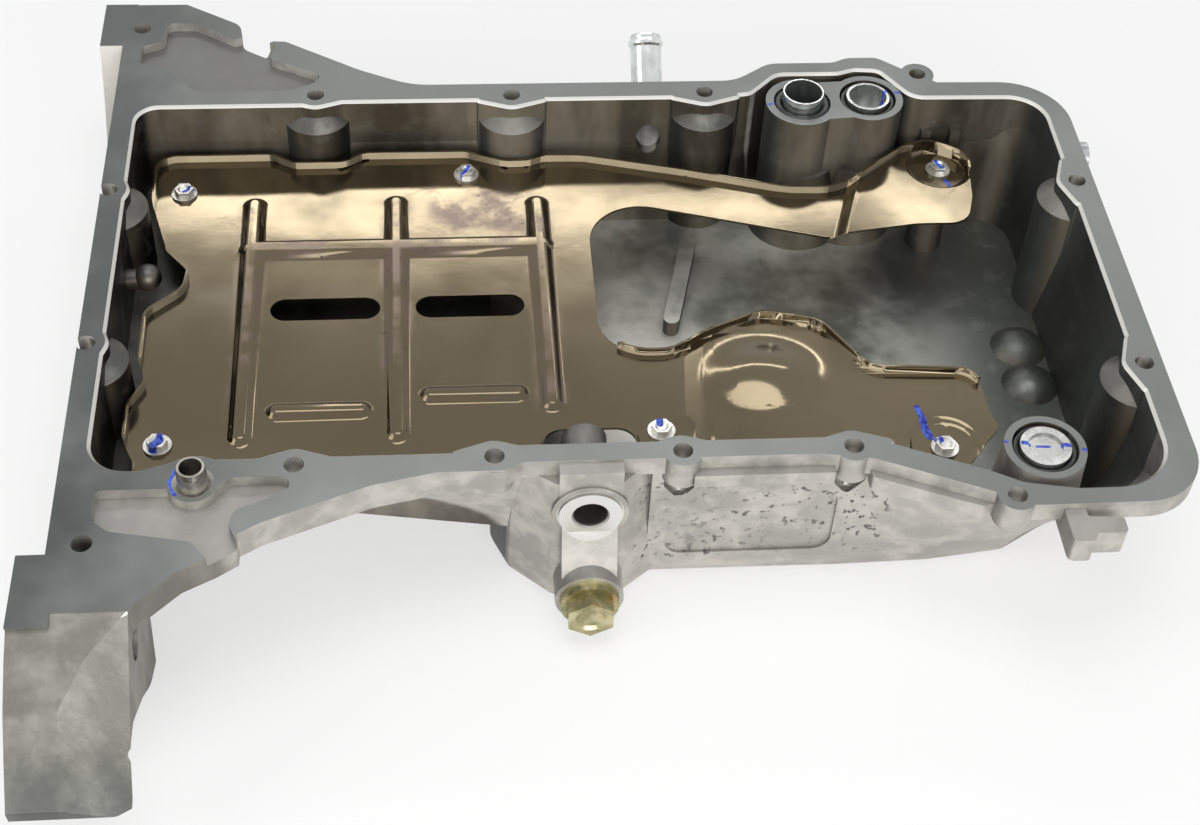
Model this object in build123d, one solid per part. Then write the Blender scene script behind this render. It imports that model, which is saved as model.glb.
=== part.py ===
"""Cast aluminium engine oil pan: deep sump, shallow end with a bell-housing flange,
pressed windage tray, drain plug, hose nipple, dowel and sealed oil ports.

Millimetres. The origin is the dowel's axis on the gasket face, +X runs along the pan,
+Y across it and +Z up, out of the open mouth.
"""

import os
from math import cos, hypot, radians, sin

from build123d import *

os.makedirs("parts", exist_ok=True)

# Casting, overall
flange_thick = 10.0
ear_thick = 14.5
wall = 4.8
floor_thick = 5.0
sump_depth = 82.0
shelf_depth = 52.0
bottom_round = 7.0
mouth_chamfer = 1.4
pocket_deep = 5.0
body_top = -flange_thick + 1.0

# Flange bolts
bolt_hole_d = 8.5
bolt_hole_deep = 18.0
ear_wall = 4.2
boss_wall = 5.5
boss_blend = 5.0
foot_r = 3.0
shoulder_top = -7.0
shoulder_low = -12.0
column_r = 17.0
scoop_r = 7.5
scoop_low = -20.0
scoop_end = -28.0
bolt_hole_r = bolt_hole_d / 2
ear_r = bolt_hole_r + ear_wall
boss_r = bolt_hole_r + boss_wall

far_row = [(43.4, 252.8), (140.8, 250.6), (238.4, 250.9)]
left_pair = [(-51.5, 82.0), (-51.5, 183.5)]
right_pair = [(413.1, 177.7), (413.1, 53.9)]
near_row = [(40.5, 8.1), (123.2, 9.6), (202.3, 9.6), (275.1, 9.6)]
wing_holes = [(-46.3, 309.7), (-41.4, -30.3)]
ear_holes = [(350.1, 263.3), (339.0, -20.1)]
bolt_holes = far_row + left_pair + right_pair + near_row + wing_holes + ear_holes

# Bell-housing end, round the crankshaft's line
bell_face_x = -66.4
bell_recess = 11.4
end_wall = 5.0
crank_y = 130.0
crank_z = 65.5
bell_inner_r = 177.7
bell_outer_r = 211.0
bell_bar = 11.0
bell_hole_d = 14.0
bell_bolts = [(-63.5, -22.0), (304.5, -26.0)]
leg_long = 45.9
gusset_thick = 5.0
recess_x = bell_face_x + bell_recess
plate_x = recess_x + end_wall

# Drain and side port, both in the near wall
port_x = 163.4
port_z = -25.5
port_face_y = -3.5
port_ring_r = 13.65
port_boss_r = 16.5
port_bore_d = 14.8
port_tube_r = 10.0
port_tube_end = 40.6
drain_z = -66.0
drain_face_y = -16.5
drain_boss_r = 15.0
drain_thread_d = 14.0
drain_thread_long = 16.0
thread_clearance = 0.05
washer_r = 13.0
washer_thick = 2.0
plug_flange_r = 12.65
plug_flange_thick = 2.3
plug_hex = 19.3
plug_hex_tall = 7.2

# Sealed oil ports in the mouth's corners
land_drop = 1.5
land_1 = (287.5, 243.5)
land_2 = (321.5, 246.0)
land_3 = (357.5, 7.0)
land_1_r = 18.5
land_2_r = 18.0
land_3_r = 17.75
waist_in = 3.5
seal_seat_d = 28.8
seal_seat_deep = 4.2
seal_gap = 0.15
tube_1_od = 20.5
tube_1_neck = 0.3
tube_1_id = 19.0
tube_1_rise = 5.0
tube_1_deep = 24.0
cup_od = 21.8
cup_id = 19.0
cup_deep = 12.0
cup_floor = 2.0
disc_od = 22.0
disc_dish = 15.0
disc_dish_deep = 1.2
disc_thick = 12.0

# Hose nipple in the far wall
nipple_x = 211.0
nipple_y = 239.5
nipple_z = -33.0
nipple_rise = 42.0
nipple_od = 16.0
nipple_id = 13.0
nipple_root = 18.0
nipple_end = 63.0
nipple_bead = 0.9
nipple_bead_back = 4.5
nipple_boss_r = 11.5
nipple_boss_end = 32.0
nipple_bore_d = 14.8

# Dowel
dowel_od = 12.6
dowel_wall = 1.6
dowel_rise = 9.5
dowel_sunk = 9.0
dowel_neck = 0.2
dowel_taper = 2.5
dowel_taper_in = 0.6
dowel_sink_r = 8.6
dowel_sink_deep = 2.0
dowel_pad_r = 10.5

# Side wall plug
side_plug_y = 217.0
side_plug_z = -18.2
side_plug_head_r = 7.5
side_plug_head = 13.0
side_plug_neck_r = 5.5
side_plug_neck = 6.0
side_plug_boss_r = 10.0

# Cast panel on the near wall
panel_face_y = 7.4
panel_thick = 6.0
panel_sunk = 1.4

# Bumps on the sump's floor
bump_r = 17.5

# Windage tray
tray_top = -29.5
tray_sheet = 1.2
tray_rim = 4.0
tray_slot_long = 51.0
tray_slot_wide = 14.4
rib_wide = 13.0
rib_tall = 3.2
cross_rib_wide = 15.0
dome_tall = 6.0
arm_raise = 3.5
far_arm_slope = 7.0
near_arm_slope = 18.0
pad_r = 13.0
pad_slope = 6.0
tray_bolt_d = 6.0
tray_bolt_long = 13.0
tray_bolt_flange_r = 6.2
tray_bolt_flange = 1.2
tray_bolt_hex = 8.0
tray_bolt_head = 4.0
tray_bolt_dish = 0.8
tray_hole_gap = 0.4
pillar_r = 7.5
tray_bolts = [(-21.5, 213.1), (117.2, 223.9), (357.4, 221.2), (-21.5, 46.7), (198.6, 47.2), (323.6, 32.3)]
tray_low = tray_top - tray_sheet

# Flange outline, corner by corner: x, y, corner radius
flange_outline = [
    (-66.4, 330.0, 2.5), (-25.0, 330.0, 3.0), (3.5, 311.5, 9.0), (5.5, 297.5, 6.0), (17.5, 289.5, 1.0),
    (19.5, 297.5, 2.5), (27.0, 297.0, 3.0), (65.0, 272.5, 60.0), (91.0, 259.7, 40.0), (255.0, 259.7, 22.0),
    (274.0, 273.5, 14.0), (308.0, 273.5, 12.0), (315.0, 277.3, 12.0), (331.0, 277.3, 8.0), (343.0, 267.5, 2.5),
    (359.0, 256.0, 1.5), (421.6, 255.0, 32.0), (421.5, -26.0, 28.0), (345.0, -26.0, 4.0), (328.5, -17.5, 3.0),
    (283.0, 2.0, 20.0), (262.0, 5.5, 20.0), (135.0, 5.8, 3.0), (127.0, 1.5, 4.0), (99.0, 1.5, 20.0),
    (72.0, -4.5, 30.0), (28.0, -22.5, 20.0), (19.0, -28.0, 1.0), (19.0, -32.5, 1.0), (10.0, -38.5, 6.0),
    (-3.0, -45.5, 8.0), (-18.0, -60.5, 4.0), (-20.5, -64.2, 1.0), (-66.4, -64.0, 1.0), (-66.4, -33.0, 1.5),
    (-55.5, -33.0, 5.0), (-56.0, 222.5, 20.0), (-53.0, 235.0, 20.0), (-53.0, 297.5, 6.0), (-66.4, 297.5, 0.5),
]

# Edge of the open mouth at the gasket face
mouth_outline = [
    (-43.5, 244.8, 11.0), (50.0, 244.8, 6.0), (56.0, 247.0, 6.0), (246.0, 247.0, 6.0), (262.0, 249.0, 8.0),
    (277.0, 264.5, 10.0), (309.0, 264.5, 8.0), (318.0, 267.5, 6.0), (330.0, 266.5, 6.0), (344.0, 244.0, 12.0),
    (410.0, 243.0, 18.0), (408.5, -16.5, 25.0), (366.0, -16.5, 20.0), (344.0, -12.5, 10.0), (331.0, -5.5, 12.0),
    (281.0, 16.0, 14.0), (130.0, 16.5, 3.0), (113.0, 13.0, 4.0), (30.0, 13.2, 6.0), (-6.0, 13.5, 8.0),
    (-23.0, 7.8, 10.0), (-43.5, 10.0, 15.0),
]

# Sump walls, outside: just under the flange, and at the bottom
sump_high = [
    (122.0, 254.5, 6.0), (257.0, 254.5, 8.0), (273.0, 269.5, 8.0), (335.0, 271.5, 8.0), (353.0, 251.5, 10.0),
    (416.0, 249.5, 26.0), (416.0, -21.5, 24.0), (374.0, -21.5, 8.0), (339.0, -20.5, 8.0), (327.0, -13.5, 8.0),
    (279.0, 11.5, 12.0), (189.0, 11.5, 2.0), (177.0, 0.5, 4.0), (149.0, 0.5, 4.0), (133.0, 11.5, 2.0),
    (122.0, 11.5, 6.0),
]
sump_low = [
    (122.0, 246.5, 12.0), (257.0, 246.5, 12.0), (273.0, 261.5, 10.0), (335.0, 263.5, 10.0), (351.0, 243.5, 12.0),
    (409.0, 241.5, 24.0), (407.0, 40.5, 20.0), (373.0, 23.5, 12.0), (355.0, 12.5, 10.0), (320.0, 8.0, 10.0),
    (279.0, 7.0, 12.0), (193.0, 7.5, 3.0), (179.0, -3.5, 6.0), (148.0, -4.5, 6.0), (129.0, 12.5, 4.0),
    (122.0, 28.5, 8.0),
]

# Shallow end, outside: just under the flange, and at its floor
shelf_high = [(-54.0, 254.5, 12.0), (141.0, 254.5, 4.0), (141.0, 9.6, 4.0), (60.0, 8.5, 20.0), (-54.0, 4.0, 8.0)]
shelf_low = [(-54.0, 248.5, 12.0), (141.0, 248.5, 4.0), (141.0, 12.4, 4.0), (60.0, 25.0, 20.0), (-54.0, 29.0, 8.0)]

# Shallow pockets in the gasket face of the two wings
far_pocket = [
    (-45.5, 279.0, 4.0), (-45.5, 294.0, 4.0), (-34.5, 299.0, 3.0), (-34.0, 313.8, 4.0), (-20.0, 313.8, 6.0),
    (1.0, 299.5, 2.0), (8.0, 302.0, 1.0), (22.0, 294.0, 1.0), (19.0, 283.5, 3.0), (46.0, 268.5, 3.0),
    (42.0, 262.0, 3.0), (30.0, 256.5, 8.0), (-16.0, 256.5, 8.0), (-27.0, 270.0, 8.0), (-36.0, 278.5, 4.0),
]
near_pocket = [
    (-39.0, -3.0, 3.0), (10.0, -3.0, 2.0), (15.0, 2.0, 2.0), (39.0, 2.0, 4.0), (39.0, -4.5, 3.0),
    (28.0, -11.0, 6.0), (17.5, -15.5, 5.0), (15.5, -22.5, 2.0), (21.0, -36.0, 1.0), (12.0, -44.0, 1.0),
    (6.5, -38.5, 2.0), (1.0, -31.0, 6.0), (-14.0, -28.0, 10.0), (-32.0, -24.5, 6.0), (-39.0, -18.5, 4.0),
]

# Leg beyond the near wing, side view: y, z, corner radius
leg_profile = [
    (-55.0, 0.0, 0.0), (-63.0, 0.0, 3.0), (-80.5, -7.8, 20.0), (-97.5, -18.0, 20.0), (-111.0, -30.0, 20.0),
    (-125.5, -43.5, 2.0), (-124.5, -50.5, 1.0), (-117.5, -50.0, 4.0), (-104.0, -34.5, 8.0), (-92.0, -34.5, 12.0),
    (-70.5, -49.0, 20.0), (-54.5, -63.5, 30.0), (-38.0, -70.0, 0.0), (-30.0, -40.0, 0.0),
]

# Edge of the tray, at its bend
tray_outline = [
    (-37.0, 238.9, 11.0), (21.0, 238.9, 10.0), (31.0, 232.3, 10.0), (56.0, 232.3, 10.0), (66.0, 238.9, 10.0),
    (117.0, 238.9, 12.0), (137.0, 230.8, 12.0), (148.0, 231.2, 8.0), (157.0, 234.9, 12.0), (176.0, 234.5, 40.0),
    (228.0, 221.5, 60.0), (276.0, 207.5, 30.0), (298.0, 206.5, 20.0), (316.0, 214.0, 20.0), (338.0, 232.0, 14.0),
    (354.0, 238.5, 14.0), (374.0, 228.0, 12.0), (370.0, 197.0, 20.0), (364.0, 177.7, 12.0), (338.0, 177.7, 30.0),
    (297.0, 171.5, 30.0), (175.7, 207.0, 26.0), (175.7, 95.6, 23.0), (206.0, 95.6, 14.0), (252.0, 116.0, 18.0),
    (279.0, 108.5, 14.0), (297.0, 78.0, 14.0), (346.5, 75.0, 12.0), (347.3, 50.0, 16.0), (350.0, 41.0, 6.0),
    (332.0, 21.0, 8.0), (316.0, 11.5, 6.0), (283.0, 24.0, 20.0), (190.0, 24.0, 4.0), (186.0, 50.2, 9.0),
    (147.0, 50.2, 9.0), (143.0, 23.0, 4.0), (-31.0, 23.0, 6.0), (-31.0, 37.0, 10.0), (-36.8, 50.0, 10.0),
    (-36.8, 70.0, 10.0), (-29.8, 83.0, 8.0), (-34.0, 98.0, 16.0), (-34.0, 128.0, 10.0), (-17.5, 143.0, 10.0),
    (-16.0, 158.0, 10.0), (-27.5, 172.5, 12.0), (-36.5, 205.0, 40.0),
]


def sketch_of(corners):
    """Flat face through corners given as x, y, radius."""
    path = FilletPolyline(*[(x, y) for x, y, r in corners], radius=[r for x, y, r in corners], close=True)
    return make_face(path.edges())


def prism(sketch, low, high):
    """A sketch carried straight up from one height to another."""
    return extrude(Pos(0, 0, low) * sketch, amount=high - low, dir=(0, 0, 1))


def post(place, radius, low, high, top_radius=None):
    """Round post on a vertical axis, straight or tapered."""
    x, y = place
    stand = (Align.CENTER, Align.CENTER, Align.MIN)
    if top_radius is None:
        return Pos(x, y, low) * Cylinder(radius, high - low, align=stand)
    return Pos(x, y, low) * Cone(radius, top_radius, high - low, align=stand)


def rod(start, direction, long, radius, end_radius=None):
    """Round rod from a point along any direction."""
    stand = (Align.CENTER, Align.CENTER, Align.MIN)
    if end_radius is None:
        shape = Cylinder(radius, long, align=stand)
    else:
        shape = Cone(radius, end_radius, long, align=stand)
    return Plane(origin=start, z_dir=direction) * shape


def block(x0, x1, y0, y1, z0, z1):
    """Plain box between two corners."""
    return Pos((x0 + x1) / 2, (y0 + y1) / 2, (z0 + z1) / 2) * Box(x1 - x0, y1 - y0, z1 - z0)


def inset(corners, by):
    """The same outline moved inwards all round, with its corner radii kept concentric."""
    count = len(corners)
    area = sum(corners[i - 1][0] * corners[i][1] - corners[i][0] * corners[i - 1][1] for i in range(count))
    side = 1 if area > 0 else -1
    moved = []
    for i, (x, y, r) in enumerate(corners):
        ax, ay, _ = corners[i - 1]
        bx, by_, _ = corners[(i + 1) % count]
        before = ((x - ax) / hypot(x - ax, y - ay), (y - ay) / hypot(x - ax, y - ay))
        after = ((bx - x) / hypot(bx - x, by_ - y), (by_ - y) / hypot(bx - x, by_ - y))
        turn = before[0] * after[1] - before[1] * after[0]
        nx = -(before[1] + after[1]) * side
        ny = (before[0] + after[0]) * side
        reach = by / (1 + before[0] * after[0] + before[1] * after[1])
        convex = turn * side > 0
        radius = max(r - by, 1.0) if convex else r + by
        moved.append((x + nx * reach, y + ny * reach, radius))
    return moved


def round_foot(corners, level):
    """Sections that bring an outline in along a quarter round at the bottom of a body."""
    sections = []
    for turn in (0, 35, 60, 90):
        inwards = bottom_round * (1 - sin(radians(turn)))
        up = bottom_round * (1 - cos(radians(turn)))
        sections.append(Pos(0, 0, level + up) * sketch_of(inset(corners, inwards)))
    return sections


def flared_boss(x, y, along, inward, shrink=0.0):
    """Boss round a flange bolt, with its sides flared into the wall beside it."""
    circles = Pos(x, y) * Circle(boss_r - shrink)
    for side in (-1, 1):
        foot_x = x + side * along[0] * 3 * boss_blend + inward[0] * (boss_blend - foot_r)
        foot_y = y + side * along[1] * 3 * boss_blend + inward[1] * (boss_blend - foot_r)
        circles += Pos(foot_x, foot_y) * Circle(foot_r - shrink)
    return make_hull(circles.edges())


def side_sketch(x):
    """Working plane across the pan: its X is the pan's Y, its Y is up."""
    return Plane(origin=(x, 0, 0), x_dir=(0, 1, 0), z_dir=(1, 0, 0))


def near_sketch(y):
    """Working plane along the near wall: its X is the pan's X, its Y is up."""
    return Plane(origin=(0, y, 0), x_dir=(1, 0, 0), z_dir=(0, -1, 0))


def rounded(x0, x1, z0, z1, radius):
    """Rectangle with round corners between two corners."""
    return Pos((x0 + x1) / 2, (z0 + z1) / 2) * RectangleRounded(x1 - x0, z1 - z0, radius)


# Flange plate with its ears
flange_face = sketch_of(flange_outline)
for x, y in left_pair + near_row[2:] + ear_holes:
    flange_face += Pos(x, y) * Circle(ear_r)
plate = prism(flange_face, -flange_thick, 0)
thick_zone = block(-70, 60, 262, 335, -ear_thick, 0) + block(-70, 127.5, -70, 8.0, -ear_thick, 0)
plate += prism(flange_face, -ear_thick, 0) & thick_zone
for place in left_pair + near_row + ear_holes:
    plate += post(place, ear_r, -ear_thick, -1)

# Sump and shallow end, outside
sump = loft(round_foot(sump_low, -sump_depth) + [Pos(0, 0, body_top) * sketch_of(sump_high)], ruled=True)
shelf = loft([Pos(0, 0, -shelf_depth) * sketch_of(shelf_low), Pos(0, 0, body_top) * sketch_of(shelf_high)], ruled=True)
outside = plate + sump + shelf

# Bell-housing plate: outer arc cut level with the sump's bottom
bell_disc = Pos(crank_y, crank_z) * Circle(bell_outer_r)
bell_band = Pos(crank_y, -sump_depth / 2) * Rectangle(4 * bell_outer_r, sump_depth)
bell_plate = extrude(side_sketch(bell_face_x) * (bell_disc & bell_band), amount=plate_x - bell_face_x, dir=(1, 0, 0))
outside += bell_plate

# Leg, with its slanting facet
leg = extrude(side_sketch(bell_face_x) * sketch_of(leg_profile), amount=leg_long, dir=(1, 0, 0))
facet_at = Plane(origin=(-21.0, -63.5, 0.0), z_dir=(486, -925, 1062))
leg -= facet_at * Pos(0, 0, 50) * Box(300, 300, 100)
outside += leg

# Gussets under the shallow end's floor, from the bell plate
for gusset_y in (55.0, 130.0, 205.0):
    gusset = Polyline((plate_x - 1, -sump_depth + bell_bar), (plate_x - 1, -shelf_depth + 3), (95, -shelf_depth + 3), close=True)
    gusset_face = near_sketch(gusset_y + gusset_thick / 2) * make_face(gusset.edges())
    outside += extrude(gusset_face, amount=gusset_thick, dir=(0, -1, 0))

# Bosses on the near wall for the side port and the drain
to_wall = 12.0
outside += rod((port_x, to_wall, port_z), (0, -1, 0), to_wall - port_face_y - 1.5, port_boss_r)
outside += rod((port_x, to_wall, port_z), (0, -1, 0), to_wall - port_face_y, port_ring_r)
outside += block(port_x - 13.5, port_x + 13.5, port_face_y + 2.5, to_wall, port_z, -1.0)
outside += rod((port_x, to_wall, drain_z), (0, -1, 0), to_wall - drain_face_y, drain_boss_r)
drain_rise = Polyline((to_wall, port_z), (0.5, port_z), (drain_face_y + 4, drain_z + 8), (drain_face_y + 4, drain_z), (to_wall, drain_z), close=True)
outside += extrude(side_sketch(port_x - 12.0) * make_face(drain_rise.edges()), amount=24.0, dir=(1, 0, 0))

# Machined pads, pry ledges and the clip lug on the near side
panel = [(190.0, -11.0, 1.0), (290.0, -11.0, 1.0), (285.0, -45.0, 20.0), (270.0, -75.0, 6.0), (190.0, -75.0, 6.0)]
outside += extrude(near_sketch(panel_face_y) * sketch_of(panel), amount=panel_thick, dir=(0, 1, 0))
panel_low = rounded(198, 272, -66, -26, 8) - Pos(222, -27) * Circle(9.0) - Pos(250, -27) * Circle(9.0)
outside -= extrude(near_sketch(panel_face_y) * panel_low, amount=panel_sunk, dir=(0, 1, 0))
outside += block(207, 267, 1.0, 9.0, -14.0, -7.0)
ledge = [(282.0, 4.0, 0.0), (282.0, -2.0, 2.0), (326.0, -20.0, 2.0), (334.0, -18.0, 0.0), (330.0, -6.0, 0.0)]
outside += prism(sketch_of(ledge), -15.0, -7.0)
clip = [
    (358.0, -20.0, 0.0), (358.0, -43.5, 3.0), (367.0, -43.5, 2.0), (369.0, -39.5, 1.0), (382.0, -39.5, 2.0),
    (382.0, -31.5, 1.5), (367.0, -30.5, 1.0), (367.0, -20.0, 0.0),
]
outside += prism(sketch_of(clip), -16.0, -3.0)

# Boss on the far wall for the hose nipple, and on the right wall for the side plug
nipple_way = Vector(0, cos(radians(nipple_rise)), sin(radians(nipple_rise)))
nipple_from = Vector(nipple_x, nipple_y, nipple_z)
outside += rod(nipple_from, nipple_way, nipple_boss_end, nipple_boss_r)
side_plug_seat = 418.0
outside += rod((405.0, side_plug_y, side_plug_z), (1, 0, 0), side_plug_seat - 405.0, side_plug_boss_r)
outside -= block(-80, 440, -140, 340, 0, 30)

# Scallops below the flange that let the bolts in, with the walls going round them inside
scallop_r = column_r - wall
for place in far_row + right_pair:
    outside -= post(place, scallop_r, -sump_depth - 1, -flange_thick)
for place in left_pair:
    outside -= post(place, scallop_r, bell_bar - sump_depth, -ear_thick)
for place in wing_holes + ear_holes:
    outside -= post(place, ear_r, -sump_depth - 1, -ear_thick)
for place in near_row:
    outside -= post(place, scoop_r, scoop_low, -ear_thick)
    outside -= post(place, 2.0, scoop_end, scoop_low, scoop_r)

# Hollow inside: walls follow the outside, and nothing is wider than the mouth
boss_rows = [
    (far_row, (1, 0), (0, -1)), (near_row, (1, 0), (0, 1)), (left_pair, (0, 1), (1, 0)), (right_pair, (0, 1), (-1, 0)),
]
dowel_boss_r = ear_r + 7.0
mouth_face = sketch_of(mouth_outline)
for places, along, inward in boss_rows:
    for x, y in places:
        mouth_face -= flared_boss(x, y, along, inward)
mouth_face -= Circle(dowel_boss_r)
mouth_edge = loft(
    [Pos(0, 0, -mouth_chamfer) * sketch_of(mouth_outline), sketch_of(inset(mouth_outline, -mouth_chamfer))],
    ruled=True,
)
for places, along, inward in boss_rows:
    for x, y in places:
        base = Pos(0, 0, -mouth_chamfer) * flared_boss(x, y, along, inward)
        mouth_edge -= loft([base, flared_boss(x, y, along, inward, mouth_chamfer)], ruled=True)
mouth_edge -= post((0, 0), dowel_boss_r, -mouth_chamfer, 0, dowel_boss_r - mouth_chamfer)
sump_in = loft(
    [
        Pos(0, 0, floor_thick - sump_depth) * sketch_of(inset(sump_low, wall)),
        Pos(0, 0, body_top) * sketch_of(inset(sump_high, wall)),
    ],
    ruled=True,
)
shelf_in = loft(
    [
        Pos(0, 0, floor_thick - shelf_depth) * sketch_of(inset(shelf_low, wall)),
        Pos(0, 0, body_top) * sketch_of(inset(shelf_high, wall)),
    ],
    ruled=True,
)
mouth_cut = prism(mouth_face, body_top - 0.5, 1)
hollow = ((sump_in + shelf_in) & prism(mouth_face, -sump_depth, 1)) + mouth_cut

# Columns and shoulders of the flange bolts, inside
for place in far_row + left_pair + right_pair:
    hollow -= post(place, column_r, -sump_depth, shoulder_low)
    hollow -= post(place, column_r, shoulder_low, shoulder_top, boss_r)

for place in ear_holes:
    hollow -= post(place, ear_r + wall, -sump_depth, -flange_thick)
for place in near_row:
    hollow -= post(place, scoop_r + wall, -sump_depth, shoulder_low)
    hollow -= post(place, scoop_r + wall, shoulder_low, shoulder_top, boss_r)

# Pillars that carry the tray
for place in tray_bolts:
    hollow -= post(place, pillar_r + 2.0, -sump_depth, tray_low, pillar_r)

# Port lands and the pillars below them
kidney_waist = Pos(*land_1) * Circle(land_1_r - waist_in) + Pos(*land_2) * Circle(land_2_r - waist_in)
kidney = make_hull(kidney_waist.edges()) + Pos(*land_1) * Circle(land_1_r) + Pos(*land_2) * Circle(land_2_r)
hollow -= prism(kidney, -sump_depth, -land_drop)
hollow -= post(land_3, land_3_r + 4, -sump_depth, -land_drop, land_3_r)
for place, side in ((land_1, 1), (land_2, -1)):
    foot = (place[0] + side * 3.0, place[1] - 3.5)
    hollow -= post(foot, land_1_r + 7.5, -sump_depth, -35.0, land_1_r - 2.0)

# Side port's tube, knob, floor rib and bumps inside
hollow -= rod((port_x, 0, port_z), (0, 1, 0), port_tube_end, port_tube_r)
hollow -= block(port_x - port_tube_r, port_x + port_tube_r, 0, port_tube_end - 6, -sump_depth, port_z)
hollow -= Pos(-34.0, 151.5, -27.0) * Sphere(6.5)
hollow -= rod((-60.0, 151.5, -29.0), (1, 0, 0.05), 26.0, 5.0)
floor_rib = make_hull((Pos(217, 158) * Circle(4) + Pos(231, 213) * Circle(4)).edges())
hollow -= prism(floor_rib, -sump_depth, -68)
for place in ((391.0, 140.5), (391.0, 114.5)):
    hollow -= Pos(place[0], place[1], -bump_r - 70.0) * Sphere(bump_r)
for rib_x in (354.0, 369.0):
    hollow -= block(rib_x - 2.5, rib_x + 2.5, 240, 262, -sump_depth, -20)

casting = outside - hollow - mouth_edge
# Bell-housing opening, its bolts, and the sawn foot of the leg
opening_disc = Pos(crank_y, crank_z) * Circle(bell_inner_r)
opening_band = Pos(crank_y, (bell_bar - sump_depth + 20) / 2) * Rectangle(4 * bell_outer_r, sump_depth - bell_bar + 20)
casting -= extrude(side_sketch(bell_face_x - 1) * (opening_disc & opening_band), amount=bell_recess + 1, dir=(1, 0, 0))
for y, z in bell_bolts:
    casting -= rod((bell_face_x - 1, y, z), (1, 0, 0), 60, bell_hole_d / 2)

# Pockets in the wings
casting -= prism(sketch_of(far_pocket), -pocket_deep, 1)
casting -= prism(sketch_of(near_pocket) - Circle(dowel_pad_r), -pocket_deep, 1)

# Flange bolt holes
for place in bolt_holes:
    casting -= post(place, bolt_hole_r, -bolt_hole_deep, 1)
for place in tray_bolts:
    casting -= post(place, tray_bolt_d / 2, tray_low - tray_bolt_long, tray_low + 1)

# Port bores and seal seats
seat_low = -land_drop - seal_seat_deep
for place, inner_r, deep in ((land_1, tube_1_od / 2 - tube_1_neck, tube_1_deep), (land_2, cup_od / 2, cup_deep), (land_3, disc_od / 2, disc_thick)):
    casting -= post(place, seal_seat_d / 2, seat_low, 1)
    casting -= post(place, inner_r, -land_drop - deep, 1)
casting -= post(land_1, tube_1_id / 2, -60, 0)

# Side port, drain, nipple, dowel and side plug bores
casting -= rod((port_x, port_face_y - 1, port_z), (0, 1, 0), port_tube_end - port_face_y + 2, port_bore_d / 2)
casting -= rod((port_x, port_face_y - 1, port_z), (0, 1, 0), 1.8, port_bore_d / 2 + 1.6, port_bore_d / 2)
drain_bore_r = drain_thread_d / 2 + thread_clearance
casting -= rod((port_x, drain_face_y - 1, drain_z), (0, 1, 0), drain_thread_long + 5, drain_bore_r)
casting -= rod((port_x, drain_face_y, drain_z), (0, 1, 0), 45, drain_thread_d / 2 - 2)
casting -= rod(nipple_from + nipple_way * nipple_root, nipple_way, 40, nipple_od / 2)
casting -= rod(nipple_from - nipple_way * 4, nipple_way, nipple_root + 6, nipple_id / 2)
casting -= post((0, 0), dowel_od / 2 - dowel_neck, -dowel_sunk, 1)
casting -= post((0, 0), dowel_od / 2, -dowel_sink_deep, 0, dowel_sink_r)
casting -= rod((side_plug_seat - 6, side_plug_y, side_plug_z), (1, 0, 0), 10, side_plug_neck_r)

print("casting", casting.is_valid, len(casting.solids()), round(casting.volume), casting.bounding_box())
export_step(casting, "parts/pan_casting.step")

# Windage tray: sheet with a turned-up rim, pressed ribs, a dome and two slots
tray_face = sketch_of(tray_outline)
tray_inner = sketch_of(inset(tray_outline, tray_sheet))


def blob(circles, shrink=0.0):
    """Rounded outline round circles given as x, y, radius, drawn in all round."""
    drawn = Pos(*circles[0][:2]) * Circle(circles[0][2] - shrink)
    for x, y, r in circles[1:]:
        drawn += Pos(x, y) * Circle(r - shrink)
    return make_hull(drawn.edges())


def pressing(circles, tall, slope, low):
    """Form pressed up into the sheet, with sides that lean in and run out softly."""
    steps = ((0.0, 0.0), (0.14, 0.26), (0.5, 0.5), (0.86, 0.74), (1.0, 1.0))
    sections = [Pos(0, 0, low + tall * up) * blob(circles, slope * inward) for up, inward in steps]
    return loft(sections, ruled=True)


rib_r = rib_wide / 2
cross_r = cross_rib_wide / 2
pressings = [
    ([(13.4, 50.0, rib_r), (13.4, 203.0, rib_r)], rib_tall, 5.0),
    ([(82.1, 50.0, rib_r), (82.1, 203.0, rib_r)], rib_tall, 5.0),
    ([(151.3, 66.0, rib_r), (151.3, 201.0, rib_r)], rib_tall, 5.0),
    ([(13.4, 170.8, cross_r), (151.3, 170.8, cross_r)], rib_tall, 5.0),
    ([(29.0, 64.7, 6.0), (66.0, 64.7, 6.0)], rib_tall, 4.6),
    ([(97.0, 72.6, 6.0), (136.0, 72.6, 6.0)], rib_tall, 4.6),
]
far_arm = [(301.1, 127.3, 20.0), (340.1, 241.0, 20.0), (400.0, 250.0, 20.0), (400.0, 130.0, 20.0)]
near_arm = [(232.0, 20.0, 30.0), (238.0, 104.0, 28.0), (345.0, 96.0, 28.0), (360.0, 20.0, 30.0)]
dome = [(238.0, 66.0, 15.0), (260.0, 66.0, 15.0), (250.0, 90.0, 13.0)]
tray = prism(tray_face, tray_low, tray_top)

# Rim turned up along the tray's far and left edges, also where the arms are raised
rim_face = tray_face - tray_inner
rim = prism(rim_face, tray_top, tray_top + tray_rim)
rim_more = pressing(far_arm, arm_raise, far_arm_slope, tray_top + tray_rim)
rim_more += pressing(near_arm, arm_raise, near_arm_slope, tray_top + tray_rim)
rim += prism(rim_face, tray_top + tray_rim, tray_top + tray_rim + arm_raise) & rim_more
rim -= prism(Pos(0, -4) * tray_inner, tray_top, tray_top + tray_rim + arm_raise)
plain_edges = block(165, 190, 100, 200, -40, 0) + block(355, 400, 170, 215, -40, 0) + block(344, 400, 0, 68, -40, 0)
rim -= prism(Pos(4, 0) * tray_inner, tray_top, tray_top + tray_rim + arm_raise) & plain_edges
tray += rim

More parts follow.
